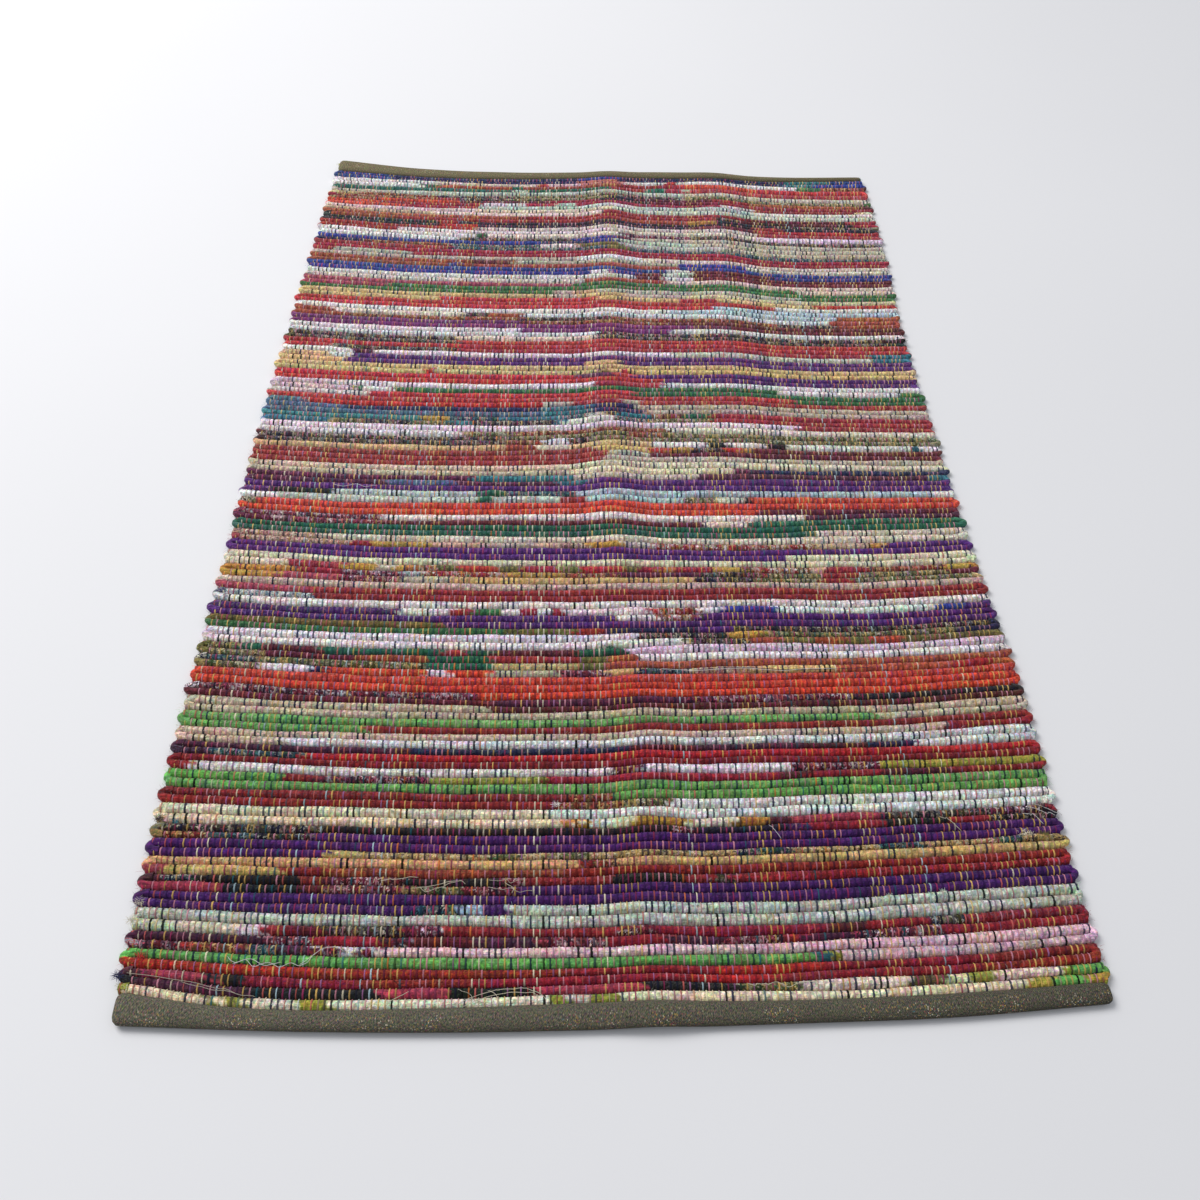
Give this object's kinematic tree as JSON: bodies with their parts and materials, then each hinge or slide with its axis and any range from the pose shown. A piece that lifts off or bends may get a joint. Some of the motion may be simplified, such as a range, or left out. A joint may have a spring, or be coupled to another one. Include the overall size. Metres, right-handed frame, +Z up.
{
  "type": "rag rug",
  "caption": "Hand-woven rectangular rag rug with fat multicoloured cotton rows, looped selvages and a rolled hem at each end, lying flat with one soft lengthwise ridge.",
  "frame": {"origin": "on the floor under the middle of the rug", "axes": "+Y along the rug's length towards its back end, +X across it to the right, +Z up"},
  "size_m": [0.9294, 1.523, 0.0148],
  "materials": {
    "cotton": "matt, fuzzy woven cotton rags in many colours"
  },
  "bodies": {
    "root": {"rag_rug": "cotton"}
  },
  "joints": []
}
